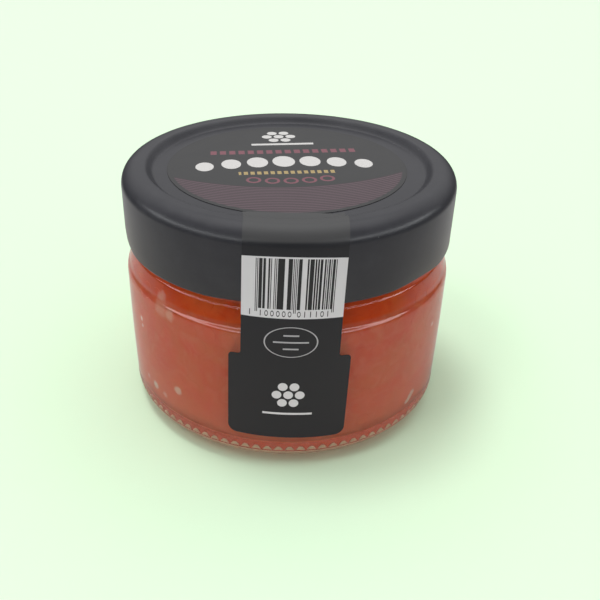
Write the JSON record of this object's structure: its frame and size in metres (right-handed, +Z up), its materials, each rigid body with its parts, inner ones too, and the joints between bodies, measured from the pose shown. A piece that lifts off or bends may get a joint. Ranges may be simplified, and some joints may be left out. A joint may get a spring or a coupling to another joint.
{
  "type": "jar of salmon roe",
  "caption": "Shut clear glass jar of salmon roe with a deep black twist-off lid, a round label on the lid and a seal label down the front.",
  "frame": {"origin": "centre of the ring of glass that the jar stands on", "axes": "+Z up along the jar's axis; the seal label faces -Y; +X to the right as the label is faced"},
  "size_m": [0.0866, 0.0871, 0.0662],
  "materials": {
    "clear_glass": "clear moulded glass, smooth, with a faint green tint in the thick foot",
    "black_lacquer": "satin black lacquer on thin steel",
    "salmon_roe": "moist, translucent orange-red fish eggs in brine",
    "lid_label_paper": null,
    "seal_label_paper": null
  },
  "bodies": {
    "root": {"jar_glass": "clear_glass", "lid": "black_lacquer", "roe": "salmon_roe", "lid_label": "lid_label_paper", "seal_label": "seal_label_paper"}
  },
  "joints": []
}
